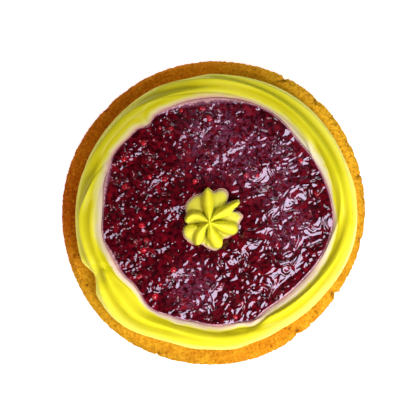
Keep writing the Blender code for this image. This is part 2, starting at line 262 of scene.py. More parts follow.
# %% A finish
class Paint(Graph):
    """One material; constants go on the shader's own sockets."""

    def __init__(self, name, **constants):
        self.material = bpy.data.materials.new(name)
        self.material.use_nodes = True
        super().__init__(self.material.node_tree)
        self.shader = self.tree.nodes["Principled BSDF"]
        for socket, value in constants.items():
            self.shader.inputs[socket.replace("_", " ")].default_value = value
        self.place = self.add("ShaderNodeTexCoord", output="Object")

    def value(self, name):
        return self.add("ShaderNodeAttribute", {"attribute_name": name}, output="Fac")

    def mix(self, share, first, second):
        first, second = [(*c, 1.0) if isinstance(c, tuple) else c for c in (first, second)]
        return self.add("ShaderNodeMix", {"data_type": "RGBA"}, {0: share, 6: first, 7: second}, 2)

    def bump(self, height, distance_mm, strength=1.0):
        inputs = {"Height": height, "Distance": distance_mm * MM, "Strength": strength}
        return self.add("ShaderNodeBump", None, inputs)

    def finish(self, **links):
        for socket, value in links.items():
            self.feed(self.shader.inputs[socket.replace("_", " ")], value)
        return self.material


# %% A shaping
class Shaping(Graph):
    """A Geometry Nodes tree with named sizes, run on one object."""

    def __init__(self, name, sizes):
        super().__init__(bpy.data.node_groups.new(name, "GeometryNodeTree"))
        self.sizes, self.sockets = sizes, {}
        for in_out in ("INPUT", "OUTPUT"):
            self.tree.interface.new_socket("Geometry", in_out=in_out, socket_type="NodeSocketGeometry")
        for label, value in sizes.items():
            kind = "NodeSocketInt" if isinstance(value, int) else "NodeSocketFloat"
            self.sockets[label] = self.tree.interface.new_socket(label, in_out="INPUT", socket_type=kind)
        self.start = self.tree.nodes.new("NodeGroupInput")
        self.end = self.tree.nodes.new("NodeGroupOutput")
        self.mesh = Wire(self, self.start.outputs["Geometry"])
        self.place = self.add("GeometryNodeInputPosition")
        self.normal = self.add("GeometryNodeInputNormal")

    def size(self, label):
        return Wire(self, self.start.outputs[label])

    def value(self, name):
        return self.add("GeometryNodeInputNamedAttribute", {"data_type": "FLOAT"}, {"Name": name})

    def push(self, mesh, direction, distance):
        """Moves the points along a direction."""
        offset = self.add("ShaderNodeVectorMath", {"operation": "SCALE"}, {0: direction, "Scale": distance})
        return self.add("GeometryNodeSetPosition", None, {"Geometry": mesh, "Offset": offset})

    def scatter(self, mesh, grain, apart_by, density, share, seed, turns, sizes):
        """Copies of a small grain laid over a mesh, at random turns and sizes."""
        spots = {"Mesh": mesh, "Distance Min": apart_by, "Density Max": density, "Density Factor": share}
        spots["Seed"] = seed
        points = self.add("GeometryNodeDistributePointsOnFaces", {"distribute_method": "POISSON"}, spots)
        limits = {0: turns[0], 1: turns[1], "Seed": 5}
        turn = self.add("FunctionNodeRandomValue", {"data_type": "FLOAT_VECTOR"}, limits)
        size = self.add("FunctionNodeRandomValue", {"data_type": "FLOAT"}, {2: sizes[0], 3: sizes[1]}, 1)
        spread = {"Points": points, "Instance": grain, "Rotation": turn, "Scale": size}
        return self.add("GeometryNodeInstanceOnPoints", None, spread)

    def make(self, piece, geometry, name, material):
        """Runs the tree on a piece and gives the result as a plain mesh object."""
        geometry = self.add("GeometryNodeRealizeInstances", None, {"Geometry": geometry})
        geometry = self.add("GeometryNodeSetMaterial", None, {"Geometry": geometry, "Material": material})
        self.feed(self.end.inputs["Geometry"], geometry)
        modifier = piece.modifiers.new("shaping", "NODES")
        modifier.node_group = self.tree
        for label, value in self.sizes.items():
            modifier[self.sockets[label].identifier] = value
        shaped = piece.evaluated_get(bpy.context.evaluated_depsgraph_get())
        mesh = bpy.data.meshes.new_from_object(shaped)
        piece.modifiers.remove(modifier)
        print(name, "has", len(mesh.vertices), "points")
        return new_object(name, mesh)


def put_in_place(piece, node):
    """Hides the solid a piece dresses and hangs the piece under the root body."""
    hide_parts(node)
    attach(piece, "root")


# %% [markdown]
# ## The biscuit
# The biscuit is a thick rolled and cut disc. Baking rounds its edge, opens small cracks round the rim and
# leaves a fine dry crumb. A turned profile gives the disc, waves make its outline uneven, and each crack
# pulls the edge in and down where the photo shows one.

# %% Biscuit: named sizes
BISCUIT_RADIUS = 45.0
BISCUIT_HEIGHT = 9.0
BISCUIT_WAVES = ((1, 0.27, 164), (2, 0.65, 49), (3, 0.13, 22), (5, 0.08, 4), (6, 0.12, 50))
# Inset from the rim and height, from the flat top over the edge and down to the foot.
BISCUIT_EDGE = (
    (9, 9), (3, 9), (1.9, 8.9), (1.1, 8.5), (0.45, 7.5),
    (0.05, 5.8), (0, 3.6), (0.3, 1.6), (0.9, 0.35), (2, 0),
)
# Cracks are (angle, depth, half width in degrees, how far they reach in, lean in degrees).
CRACKS = (
    (6, 0.35, 2, 1.6, 0.5), (14.5, 0.45, 1.5, 2.6, -0.8), (28, 0.45, 2, 1.6, 0),
    (47.5, 0.60, 2.4, 2, 0.6), (62, 0.95, 1.8, 2.9, 2.4), (136, 0.40, 3, 1, 0),
    (248, 0.55, 1.3, 2, 0.4), (304.5, 1.10, 2.4, 2.9, 1.8), (326.3, 1.50, 1.7, 2.4, -0.6),
    (349.5, 0.45, 1.5, 2.4, 0.8),
)
# Pits are (angle, distance from the middle, half width, depth).
PITS = (
    (189, 43.5, 0.45, 0.35), (197, 43, 0.50, 0.40), (209.5, 43.1, 0.60, 0.50), (250, 44.2, 0.40, 0.30),
    (283.5, 41.2, 0.45, 0.40), (289, 41.2, 0.40, 0.35), (293, 42.9, 0.45, 0.40), (303, 40.7, 0.45, 0.40),
    (316, 42.3, 0.45, 0.40), (72, 43.8, 0.40, 0.35),
)
# Places round the cookie, here and below, are (angle, amount, half width in degrees).
# Where the crust is darkest, browned and painted with the rope's shadow; where it is reddest; and where
# painted light makes it lightest.
BROWNED_AND_SHADED = ((146, 0.7, 78), (180, 0.5, 28), (286, 0.24, 60))
TOASTED = ((96, 0.5, 42), (252, -0.2, 40))
PAINTED_LIGHT = ((44, 0.9, 60), (218, 0.65, 32))
# How much of a crack's depth the top loses, how narrow its middle of painted shade is, and how it wanders
# down the side.
CRACK_SINK = 0.8
CRACK_CORE = 0.45
CRACK_WANDER = 0.35
BISCUIT_COLUMNS = 1080
BISCUIT_ROWS = 64


def profile_rows(profile, count):
    """Points evenly spaced along a smooth line through the profile."""
    profile = np.array(profile, float)
    run = np.concatenate([[0.0], np.cumsum(np.hypot(*np.diff(profile, axis=0).T))])
    place = np.linspace(0.0, run[-1], count)
    return np.stack([along(list(zip(run, profile[:, axis])), place) for axis in (0, 1)], axis=1)


# %% Biscuit: the skin
def make_biscuit():
    angle = circle_of(BISCUIT_COLUMNS)[None, :]
    rows = profile_rows(BISCUIT_EDGE, BISCUIT_ROWS)
    inset, height = rows[:, :1], np.clip(rows[:, 1:], 0.0, BISCUIT_HEIGHT)
    outline = waves(angle, BISCUIT_WAVES)
    radius = (BISCUIT_RADIUS - inset) * (1.0 + outline / BISCUIT_RADIUS)
    level = height + 0.0 * angle
    # Painted shade, darkest in the middle of each crack and in each pit.
    crack_shade = 0.0 * radius
    for at, depth, half, reach, lean in CRACKS:
        wander = CRACK_WANDER * half * np.sin(1.5 * height + at) * (height < 8.0)
        middle = at + lean * smooth(inset / reach) + wander
        share = near(apart(angle, middle), half)
        radius = radius - depth * share * smooth(height / 4.0) * (1.0 - smooth(inset / reach))
        level = level - CRACK_SINK * depth * share * (1.0 - smooth((inset - 0.4) / reach)) * (height > 7.0)
        narrow = near(apart(angle, middle), CRACK_CORE * half)
        narrow = narrow * smooth(height / 4.0) * (0.7 + 0.3 * np.sin(2.3 * height + at))
        crack_shade = np.maximum(crack_shade, narrow * (1.0 - smooth((inset - 0.6) / reach)))
    x, y = from_polar(radius, angle)
    for at, distance, half, depth in PITS:
        pit_x, pit_y = from_polar(distance, at)
        share = near(np.hypot(x - pit_x, y - pit_y), half) * (height > 5.0)
        level = level - depth * share
        crack_shade = np.maximum(crack_shade, share)
    values = {"crack_shade": crack_shade, "bare": smooth(height / 1.5) * (radius > 38.0)}
    for label, places in (("browned_and_shaded", BROWNED_AND_SHADED), ("toasted", TOASTED), ("painted_light", PAINTED_LIGHT)):
        values[label] = swells(angle, places) + 0.0 * radius
    ends = [(0.0, 0.0, BISCUIT_HEIGHT), (0.0, 0.0, 0.0)]
    return closed_skin("biscuit_disc", x, y, level, ends, values, upward=False)


# %% Biscuit: finish
# Linear red, green and blue of the crust, from its dough to its cracks, with painted light and painted shade
# among them.
CRUST = {
    "dough": (0.51, 0.237, 0.007),
    "light dough": (0.67, 0.372, 0.014),
    "painted_light": (0.96, 0.54, 0.018),
    "toasted": (0.92, 0.30, 0.005),
    "browned_and_shaded": (0.34, 0.042, 0.001),
    "crumb": (0.93, 0.52, 0.030),
    "hollow_shade": (0.30, 0.085, 0.003),
    "pit_shade": (0.20, 0.050, 0.002),
    "crack": (0.14, 0.035, 0.003),
}


def crust_finish():
    paint = Paint("baked_crust", Roughness=0.9, Specular_IOR_Level=0.03)
    patches = paint.noise(paint.place, 0.30, 4.0, 0.6)
    crumb = paint.noise(paint.place, 1.25, 4.0, 0.65)
    grit = paint.noise(paint.place, 2.6, 3.0, 0.6)
    colour = paint.mix(paint.between(patches, 0.35, 0.65), CRUST["dough"], CRUST["light dough"])
    # Painted light: the crust is painted lighter where the light falls brightest on it.
    colour = paint.mix(paint.value("painted_light") * 0.70, colour, CRUST["painted_light"])
    # The browned share is partly real browning and partly the rope's painted shadow, darkest at the upper
    # left.
    browned_and_shaded = paint.value("browned_and_shaded")
    colour = paint.mix(browned_and_shaded * 0.9 + paint.value("toasted"), colour, CRUST["toasted"])
    colour = paint.mix(browned_and_shaded * 0.84, colour, CRUST["browned_and_shaded"])
    colour = paint.mix(paint.between(crumb, 0.52, 0.70) * 0.45, colour, CRUST["crumb"])
    # Painted shade in the hollows and pits of the crumb's bumps.
    colour = paint.mix((1.0 - paint.between(crumb, 0.32, 0.48)) * 0.60, colour, CRUST["hollow_shade"])
    colour = paint.mix((1.0 - paint.between(grit, 0.30, 0.42)) * 0.5, colour, CRUST["pit_shade"])
    # Painted shade in the cracks and pits.
    colour = paint.mix(paint.value("crack_shade") * 0.8, colour, CRUST["crack"])
    relief = paint.bump(crumb * 0.6 + grit * 0.4, 0.6)
    return paint.finish(Base_Color=colour, Normal=relief)


# %% Biscuit: its crumb
CRUMB_DEPTH = 0.42
CRUMBS_PER_MM = 0.8
GRIT_DEPTH = 0.16
GRIT_PER_MM = 2.1


def crumble(disc, material):
    """Sinks the skin by a fine uneven depth, so that it never leaves the solid's box."""
    sizes = {"Crumb depth": CRUMB_DEPTH * MM, "Crumbs per mm": CRUMBS_PER_MM}
    sizes.update({"Grit depth": GRIT_DEPTH * MM, "Grit per mm": GRIT_PER_MM})
    shaping = Shaping("crumb", sizes)
    crumb = shaping.between(shaping.noise(shaping.place, shaping.size("Crumbs per mm")), 0.62, 0.34)
    grit = shaping.between(shaping.noise(shaping.place, shaping.size("Grit per mm")), 0.62, 0.36)
    depth = crumb * shaping.size("Crumb depth") + grit * shaping.size("Grit depth")
    depth = depth * shaping.value("bare") * -1.0
    return shaping.make(disc, shaping.push(shaping.mesh, shaping.normal, depth), "biscuit_crust", material)


disc = make_biscuit()
biscuit = crumble(disc, crust_finish())
bpy.data.objects.remove(disc)
put_in_place(biscuit, "biscuit")

# %% [markdown]
# ## The rope of icing
# A star tip gives the rope its ridges. The hand turns as it pipes, so each ridge rises at the rope's inner
# side, crosses its top and leaves at its outer side. A rope whose ridges wander this much isn't a plain
# twisted tube, so the section is worked out afresh at each angle: crests where the photo shows them, with
# a full round groove between each two.

# %% Rope: named sizes
GAP = 0.3
RING_OUTER_RADIUS = 41.18
RING_OUTER_WAVES = ((1, 0.33, 25), (2, 0.95, 32), (3, 0.53, 109), (4, 0.15, 68), (5, 0.12, 62), (6, 0.18, 47))
RING_INNER_RADIUS = 33.32
RING_INNER_WAVES = ((1, 0.67, 58), (2, 0.19, 0), (3, 0.32, 2), (4, 0.51, 82), (5, 0.24, 63), (6, 0.11, 54))
# The swells' amounts are outward.
RING_OUTER_SWELLS = (
    (101, -0.6, 12), (207.5, -2.2, 8.5), (226, 0.9, 16), (250, -0.7, 14), (279, 0.6, 12),
)
RING_INNER_SWELLS = (
    (42, -0.6, 16), (127, -1.4, 6), (150, 0.8, 14), (176, -0.6, 12), (193, 0.6, 10),
    (222, -0.9, 11), (237, 1, 11), (260, -0.6, 12), (290, 1, 9), (358, 0.2, 9),
)
ROPE_HEIGHT = 6.4
ROPE_WAIST = 2.8
ROPE_FOOT_ROUND = 3.2
INNER_SIDE_DROP = 0.40
GROOVE_DEPTH = 0.30
GROOVE_FULLNESS = 1.2
SIDE_GROOVE_SHARE = 0.25
SIDE_GROOVE_FADE = 30.0
GROOVE_SPACING = 60.0
SEAM_ANGLE = 206.5
SEAM_SLANT = 0.55
SEAM_HALF_WIDTH = 3.4
SEAM_DEPTH = 0.24
# Each ridge is a row of (angle round the ring, radius of its crest) from where it rises to where it ends.
RIDGES = (
    ((125, 32.4), (150, 34.2), (170, 37.6), (180, 39.6), (205, 39.4), (231, 42.6), (250, 39.7), (287, 39.7)),
    ((152, 33.2), (180, 35.0), (200, 35.8), (229, 37.7), (250, 36.1), (285, 38.6), (330, 40.6), (365, 42.1)),
    ((287, 33.3), (300, 34.6), (320, 35.9), (337, 37.9), (351, 39.9), (380, 40.9), (450, 40.9), (457, 41.1)),
    ((345, 34.8), (360, 37.0), (400, 37.6), (450, 39.4), (480, 40.8), (506, 40.2)),
    ((400, 34.7), (450, 35.6), (470, 36.8), (490, 38.8), (510, 39.4), (530, 40.9), (560, 41.4)),
)
# Thin folds where one ridge lies against the next, painted dark as their shade: the strength, then (angle,
# radius) along each.
ROPE_FOLDS = (
    (1.0, ((151, 34.6), (158, 35.6), (165, 37.0), (174, 38.8), (181, 40.3))),
    (0.5, ((112, 36.0), (122, 36.3), (135, 36.6), (148, 36.8), (160, 36.6))),
    (0.8, ((77, 34.9), (84, 35.2), (91, 35.4), (101, 35.7), (110, 36.5), (119, 37.6), (128, 38.4))),
    (0.6, ((-4, 35.3), (8, 35.2), (21, 35.3), (32, 34.9), (47, 35.3), (60, 36.3))),
)
ROPE_FOLD_HALF_WIDTH = 0.34
ROPE_FOLD_FADE = 6.0
# A ridge is gone this many degrees round the section below each side, and fades over this many of the ring.
RIDGE_TURN_UNDER = 32.0
RIDGE_FADE = 22.0
# Stands for a ridge that does not reach a place.
ABSENT = 999.0
# The low pale lip beside the jam: its width, and where it is wider or narrower.
LIP_WIDTH = 1.9
LIP_SWELLS = (
    (38, 1.3, 30), (178, 1.9, 34), (130, 0.7, 30), (96, 0.4, 16),
    (237, -0.7, 14), (270, 0.4, 16), (322, 1, 30), (5, -0.9, 14),
)
# Where the lip is a low ledge under the ridges, and its height.
LEDGES = ((310, 1, 75), (247, 0.8, 26), (15, 0.7, 25))
LEDGE_RISE = 0.9
# The ledge is level over this share of the lip, and eases up to the ridges over this share more.
LEDGE_LEVEL = 0.8
LEDGE_EASE = 0.35
# Where the lip is only folded against the rope.
LIP_FOLDS = ((214, 1.1, 30),)
# The crease behind the lip, painted dark as its shade: its place and half width as shares of the lip's width,
# and how dark it is painted beside a ledge.
CREASE_PLACE = 1.05
CREASE_HALF_WIDTH = 0.28
LEDGE_CREASE = 0.7
# How wide the seam's ragged tear is, painted dark as its shade.
TEAR_HALF_WIDTH = 1.6
# How much painted shade the icing has all round, where it is painted darker away from the light, and where
# lighter.
SHADE_ALL_ROUND = 0.29
SHADE_PLACES = ((128, 0.75, 90), (45, 0.42, 48), (225, -0.29, 45), (318, 0.08, 40))
# Where the painted light on the outer edge reaches further up.
LIT_EDGE = ((75, 1, 32), (140, 1, 50))
# Where the jam has not stained the lip.
PALE_LIP = ((36, 1, 42), (240, 0.3, 40), (340, 0.3, 25), (176, 0.7, 34))
ROPE_COLUMNS = 700
ROPE_SECTION_POINTS = 134
SECTION_CROWDING = 1.2


# %% Rope: where its edges and crests run
def ring_edges(turn):
    inner = RING_INNER_RADIUS + waves(turn, RING_INNER_WAVES) + swells(turn, RING_INNER_SWELLS)
    outer = RING_OUTER_RADIUS + waves(turn, RING_OUTER_WAVES) + swells(turn, RING_OUTER_SWELLS)
    return inner, outer


def crest_angles(turn):
    """Sorted angles round the section, a row for each possible ridge and turn; absent ones come last."""
    inner, outer = ring_edges(turn)
    middle, half_width = 0.5 * (inner + outer), 0.5 * (outer - inner)
    found = [np.full_like(turn, -RIDGE_TURN_UNDER), np.full_like(turn, 180.0 + RIDGE_TURN_UNDER)]
    for ridge in RIDGES:
        start, end = ridge[0][0], ridge[-1][0]
        for place in (turn, turn + 360.0):
            across = (along(ridge, np.clip(place, start, end)) - middle) / half_width
            angle = np.degrees(np.arccos(np.clip(across, -1.0, 1.0)))
            angle += (180.0 + RIDGE_TURN_UNDER - angle) * smooth((start - place) / RIDGE_FADE)
            angle -= (RIDGE_TURN_UNDER + angle) * smooth((place - end) / RIDGE_FADE)
            absent = (place < start - RIDGE_FADE) | (place > end + RIDGE_FADE)
            found.append(np.where(absent, ABSENT, angle))
    return np.sort(np.stack(found), axis=0)


def ridge_share(section, crests):
    """1 on a crest and less in the groove between two crests, and how deep in a groove each point is."""
    place = np.where(section < 270.0, section, section - 360.0)
    share, depth = np.ones_like(place), np.zeros_like(place)
    for lower, upper in zip(crests[:-1], crests[1:]):
        spacing = np.maximum(upper - lower, 1e-6)
        inside = (place >= lower) & (place <= upper) & (upper < ABSENT)
        between = np.clip((place - lower) / spacing, 0.0, 1.0)
        bowl = np.sin(np.pi * between) ** GROOVE_FULLNESS
        bowl = bowl * np.minimum(1.0, spacing / GROOVE_SPACING)
        share = np.where(inside, 1.0 - GROOVE_DEPTH * bowl, share)
        inner_side = smooth((180.0 + RIDGE_TURN_UNDER - upper) / SIDE_GROOVE_FADE)
        outer_side = smooth((lower + RIDGE_TURN_UNDER) / SIDE_GROOVE_FADE)
        depth = np.where(inside, bowl * (0.2 + 0.8 * inner_side * outer_side), depth)
    return share, depth


def fold_depth(turn, radius):
    """How near each point lies to one of the thin folds, from 0 to 1, for their painted shade."""
    deepest = 0.0 * radius
    for strength, line in ROPE_FOLDS:
        start, end = line[0][0], line[-1][0]
        place = start + (turn - start) % 360.0
        ends = smooth((place - start) / ROPE_FOLD_FADE) * smooth((end - place) / ROPE_FOLD_FADE)
        off = radius - along(line, np.clip(place, start, end))
        deepest = np.maximum(deepest, strength * ends * near(off, ROPE_FOLD_HALF_WIDTH))
    return deepest


print("rope is", [round(float(edge), 1) for edge in ring_edges(np.array(45.0))], "mm out at 45 degrees")


# %% Rope: shares for its finish
def rope_shares(turn, section, radius, from_jam, seam, groove):
    """Named shares at the rope's points: painted shade in grooves, folds and creases, the lip and ledge,
    painted light, the stain and the painted shade all round.
    """
    upward = np.sin(np.radians(section))
    lip = np.clip(1.0 - from_jam, 0.0, 1.0)
    ledge = np.minimum(1.0, swells(turn, LEDGES))
    folded = np.minimum(1.0, swells(turn, LIP_FOLDS))
    # The crease behind the lip and the seam's tear below are painted dark as their shade.
    crease = near(from_jam - CREASE_PLACE, CREASE_HALF_WIDTH)
    crease = crease * np.maximum(LEDGE_CREASE * ledge, folded)
    ragged = 1.2 * np.sin(1.9 * radius) * np.sin(0.8 * radius + 1.0) + 0.5 * np.sin(5.3 * radius)
    tear = near(seam + ragged, TEAR_HALF_WIDTH) * smooth(upward / 0.3)
    # Painted light: the lower outer side is painted pale where it is turned to the window, and the edge
    # itself is painted pale all round.
    lit = 0.25 + 0.75 * smooth(0.6 + np.cos(np.radians(turn + 45.0)))
    pale_and_lit = smooth((62.0 - section) / 40.0) * lit
    edge = smooth((34.0 + 14.0 * swells(turn, LIT_EDGE) - section) / 24.0)
    shares = {
        "groove": np.maximum(groove * (1.0 - lip), np.maximum(crease, 0.9 * tear)),
        "fold_shade": fold_depth(turn, radius) * (upward > 0.0),
        "lip": lip,
        "ledge": np.maximum(ledge, folded),
        "pale_and_lit": np.maximum(pale_and_lit, edge) * (section > -90.0),
        "blush": 1.0 - swells(turn, PALE_LIP),
        "shaded": SHADE_ALL_ROUND + swells(turn, SHADE_PLACES),
    }
    return {label: np.ravel(share + 0.0 * radius) for label, share in shares.items()}


# %% Rope: the skin
def make_rope():
    turn = circle_of(ROPE_COLUMNS)[None, :]
    from_top = (circle_of(ROPE_SECTION_POINTS) - 180.0)[:, None]
    section = 90.0 - np.sign(from_top) * 180.0 * (np.abs(from_top) / 180.0) ** SECTION_CROWDING
    section = section + 0.0 * turn
    inner, outer = ring_edges(turn)
    middle, half_width = 0.5 * (inner + outer), 0.5 * (outer - inner)
    share, groove = ridge_share(section, crest_angles(turn))
    across, upward = np.cos(np.radians(section)), np.sin(np.radians(section))
    kept = SIDE_GROOVE_SHARE + (1.0 - SIDE_GROOVE_SHARE) * np.maximum(0.0, upward)
    radius = middle + half_width * across * (1.0 - (1.0 - share) * kept)
    seam = apart(turn, SEAM_ANGLE) + SEAM_SLANT * (radius - middle)
    pinch = near(seam, SEAM_HALF_WIDTH) * np.maximum(0.0, upward)
    rise = (ROPE_HEIGHT - ROPE_WAIST) * upward * share * (1.0 - SEAM_DEPTH * pinch)
    rise = rise * (1.0 - INNER_SIDE_DROP * smooth(-1.1 * across))
    width = LIP_WIDTH + swells(turn, LIP_SWELLS)
    from_jam = (radius - inner) / width
    ledge = np.minimum(1.0, swells(turn, LEDGES))
    sunk = ledge * (1.0 - smooth((from_jam - LEDGE_LEVEL) / LEDGE_EASE))
    rise = rise + (np.minimum(rise, LEDGE_RISE) - rise) * sunk
    drop = np.minimum(ROPE_WAIST, ROPE_FOOT_ROUND * -upward)
    height = BISCUIT_HEIGHT + GAP + ROPE_WAIST + np.where(upward > 0.0, rise, -drop)
    points = np.stack([*from_polar(radius, turn), height], axis=-1).reshape(-1, 3)
    shares = rope_shares(turn, section, radius, from_jam, seam, groove)
    return mesh_object("icing_rope", points, row_faces(ROPE_SECTION_POINTS, ROPE_COLUMNS, True), shares)


# %% Rope: finish
# Linear red, green and blue of the icing, from its darker and brighter tone, through its painted shade and
# painted light, to the jam's stain on the lip.
ROPE_TONES = ((0.685, 0.677, 0.006), (0.758, 0.748, 0.019))
ICING = {
    "shaded": (0.345, 0.36, 0.004),
    "groove": (0.40, 0.375, 0.001),
    "fold_shade": (0.22, 0.18, 0.001),
    "pale_and_lit": (0.82, 0.84, 0.12),
    "hollow_shade": (0.10, 0.06, 0.001),
    "lip": (0.66, 0.61, 0.24),
    "ledge": (0.72, 0.62, 0.42),
    "unstained lip": (0.72, 0.76, 0.40),
    "shaded lip": (0.38, 0.36, 0.13),
    "edge": (0.75, 0.79, 0.50),
    "stained edge": (0.54, 0.27, 0.21),
    "shaded edge": (0.30, 0.16, 0.12),
}


def icing_finish(name, shade_mask, dark, bright):
    """Lemon icing with painted shade and painted light; the mask says how deep in a groove each point lies,
    which is painted as shade, and over 1 how dark a painted shadow it gets.
    """
    paint = Paint(name, Roughness=0.42, Specular_IOR_Level=0.12)
    tone = paint.between(paint.noise(paint.place, 0.12, 2.0), 0.35, 0.65)
    colour = paint.mix(tone, dark, bright)
    # Painted shade: the icing is painted darker on the side away from the light and lighter at the lower
    # left, and the star's low lobes are painted darker.
    shaded = paint.value("shaded")
    colour = paint.mix(shaded * 0.8, colour, ICING["shaded"])
    shade_depth = paint.value(shade_mask)
    # Painted shade in the grooves, the crease and the tear.
    colour = paint.mix(paint.between(shade_depth, 0.35, 1.0) * 0.70, colour, ICING["groove"])
    # Painted shade along the folds.
    colour = paint.mix(paint.value("fold_shade") * 0.75, colour, ICING["fold_shade"])
    # Painted light on the rope's outer side and edge; on the star it is the lobes' paler tone.
    colour = paint.mix(paint.value("pale_and_lit") * 0.75, colour, ICING["pale_and_lit"])
    # Painted shadow in the star's deepest hollows.
    colour = paint.mix(paint.between(shade_depth, 1.05, 1.8), colour, ICING["hollow_shade"])
    wander = paint.noise(paint.place, 0.30, 4.0, 0.6) * 0.7 - 0.35
    lip = paint.value("lip")
    lip = lip + paint.between(lip, 0.0, 0.2) * wander
    ledge = paint.value("ledge")
    skin = paint.mix(ledge, ICING["lip"], ICING["ledge"])
    skin = paint.mix(0.9 - paint.value("blush") * 0.9, skin, ICING["unstained lip"])
    # The same painted shade on the lip.
    skin = paint.mix(shaded * 0.65, skin, ICING["shaded lip"])
    colour = paint.mix(paint.between(lip, 0.02, 0.80 - ledge * 0.40) * 0.9, colour, skin)
    edge = paint.mix(paint.value("blush"), ICING["edge"], ICING["stained edge"])
    # The same painted shade on the stained edge.
    edge = paint.mix(shaded * 0.60, edge, ICING["shaded edge"])
    colour = paint.mix(paint.between(lip, 0.45, 1.0) * 0.85, colour, edge)
    relief = paint.bump(paint.noise(paint.place, 0.9), 0.10, 0.5)
    return paint.finish(Base_Color=colour, Normal=relief)


rope = make_rope()
rope.data.materials.append(icing_finish("lemon_icing", "groove", *ROPE_TONES))
put_in_place(rope, "icing_ring")
print("rope points:", len(rope.data.vertices))

# %% [markdown]
# ## The jam
# The jam is a pool: a flat-bottomed disc with its rim run in under the rope and a slightly uneven level.
# Long folds, round lumps, ripples and small beads raise its wet skin, and it is seediest on one side. A
# disc bent from a square grid has cells of nearly one size, which suits fine lumps better than rings of
# points that crowd at the middle. Whole drupelets are scattered over it, each a flattened ball.

# %% Jam: named sizes
JAM_DEPTH = 2.9
JAM_SWELL = 0.35
STAR_CENTRE = (-1.35, -2.78)
STAR_REST = 0.75
# The jam is level this far from the star's middle, and reaches its own height this much further out.
STAR_SEAT = 5.5
STAR_SEAT_EASE = 2.5
JAM_GRID = 300
# The jam's disc goes out to this share of the rope's inner edge.
JAM_REACH = 1.02
# The jam is smoothest towards this side, and its lumps and seeds show most on the other.
SMOOTHEST_TOWARDS = -28.0
# The jam is painted a cloudy purplish grey here: (x, y, how far it reaches).
JAM_HAZE = ((2, 22, 20), (17, 13, 17), (22, -4, 12), (-6, -22, 12))
# How wide icing is smeared into the jam's edge, all round and more in places.
SMEAR_WIDTH = 0.45
SMEARS = ((96, 2.2, 32), (163, 1.3, 16), (205, 0.8, 12))
# Height of the rim at shares of the rope's inner edge.
JAM_RIM = ((0.0, 1.0), (0.93, 1.0), (0.985, 0.99), (1.0, 0.965), (1.012, 0.70), (1.02, 0.2))


def jam_height(x, y):
    """Height of the jam's surface over its floor, level under the star."""
    ripple = np.sin(0.42 * x + 0.9) * np.cos(0.37 * y - 0.4) + 0.6 * np.sin(0.23 * x - 0.61 * y)
    from_star = np.hypot(x - STAR_CENTRE[0], y - STAR_CENTRE[1])
    level = JAM_DEPTH + JAM_SWELL * ripple
    rest = JAM_DEPTH - STAR_REST
    return rest + (level - rest) * smooth((from_star - STAR_SEAT) / STAR_SEAT_EASE)


# %% Jam: the skin
def square_to_disc(count):
    """A square grid bent to a unit disc: distance and angle of each point."""
    a, b = np.meshgrid(np.linspace(-1.0, 1.0, count), np.linspace(-1.0, 1.0, count))
    wide = np.abs(a) > np.abs(b)
    distance = np.where(wide, a, b)
    with np.errstate(divide="ignore", invalid="ignore"):
        angle = np.where(wide, 45.0 * b / a, 90.0 - 45.0 * a / b)
    angle = np.nan_to_num(angle)
    return np.abs(distance), (angle + np.where(distance < 0.0, 180.0, 0.0)) % 360.0


def make_jam():
    distance, angle = square_to_disc(JAM_GRID)
    distance, angle = distance.ravel(), angle.ravel()
    inner = ring_edges(angle)[0]
    radius = JAM_REACH * distance * inner
    x, y = from_polar(radius, angle)
    edge = along(JAM_RIM, JAM_REACH * distance)
    floor = BISCUIT_HEIGHT + GAP
    points = np.stack([x, y, floor + jam_height(x, y) * edge], axis=-1)
    index = np.arange(JAM_GRID**2).reshape(JAM_GRID, JAM_GRID)
    corners = [index[:-1, :-1], index[:-1, 1:], index[1:, 1:], index[1:, :-1]]
    quads = np.stack(corners, axis=-1).reshape(-1, 4)
    rim = np.concatenate([index[0, :-1], index[:-1, -1], index[-1, :0:-1], index[:0:-1, 0]])
    foot = points[rim] * (1.0, 1.0, 0.0) + (0.0, 0.0, floor)
    first, count = len(points), len(rim)
    below_rim = first + np.arange(count)
    walls = np.stack([below_rim, np.roll(below_rim, -1), np.roll(rim, -1), rim], axis=1)
    points = np.concatenate([points, foot, [[0.0, 0.0, floor]]])
    base = fan(first, count, first + count, False)
    from_star = np.hypot(x - STAR_CENTRE[0], y - STAR_CENTRE[1])
    # The lumps die away at the rim and are low round the star, and whole drupelets keep clear of both.
    loose = smooth((0.99 - distance) / 0.05) * (0.25 + 0.75 * smooth((from_star - 6.0) / 3.0))
    turn = math.radians(SMOOTHEST_TOWARDS)
    seedy = 1.0 - smooth(0.5 + (x * math.cos(turn) + y * math.sin(turn)) / 40.0)
    fruity = smooth((0.96 - distance) / 0.02) * (from_star > 10.0) * (0.3 + 0.7 * seedy)
    smear = 1.0 - smooth((inner - radius) / (SMEAR_WIDTH + swells(angle, SMEARS)))
    haze = sum(near(np.hypot(x - at[0], y - at[1]), half) for *at, half in JAM_HAZE)
    values = {"loose": loose, "fruity": fruity, "seedy": seedy, "haze": haze, "smear": smear}
    values = {label: np.append(numbers, np.zeros(count + 1)) for label, numbers in values.items()}
    return mesh_object("jam_disc", points, quads.tolist() + walls.tolist() + base, values)


# %% Jam: finish
# Linear red, green and blue of the jam, darker and brighter tone, and of what lies in it.
JAM_TONES = ((0.021, 0.0004, 0.0016), (0.092, 0.0015, 0.005))
DRUPELET_TONES = ((0.17, 0.002, 0.006), (0.42, 0.008, 0.016))
RED_FRUIT = (0.30, 0.006, 0.012)
CLOUDY_HAZE = (0.19, 0.055, 0.095)
SMEARED_JAM = (0.17, 0.055, 0.09)
SMEARED_ICING = (0.50, 0.31, 0.26)


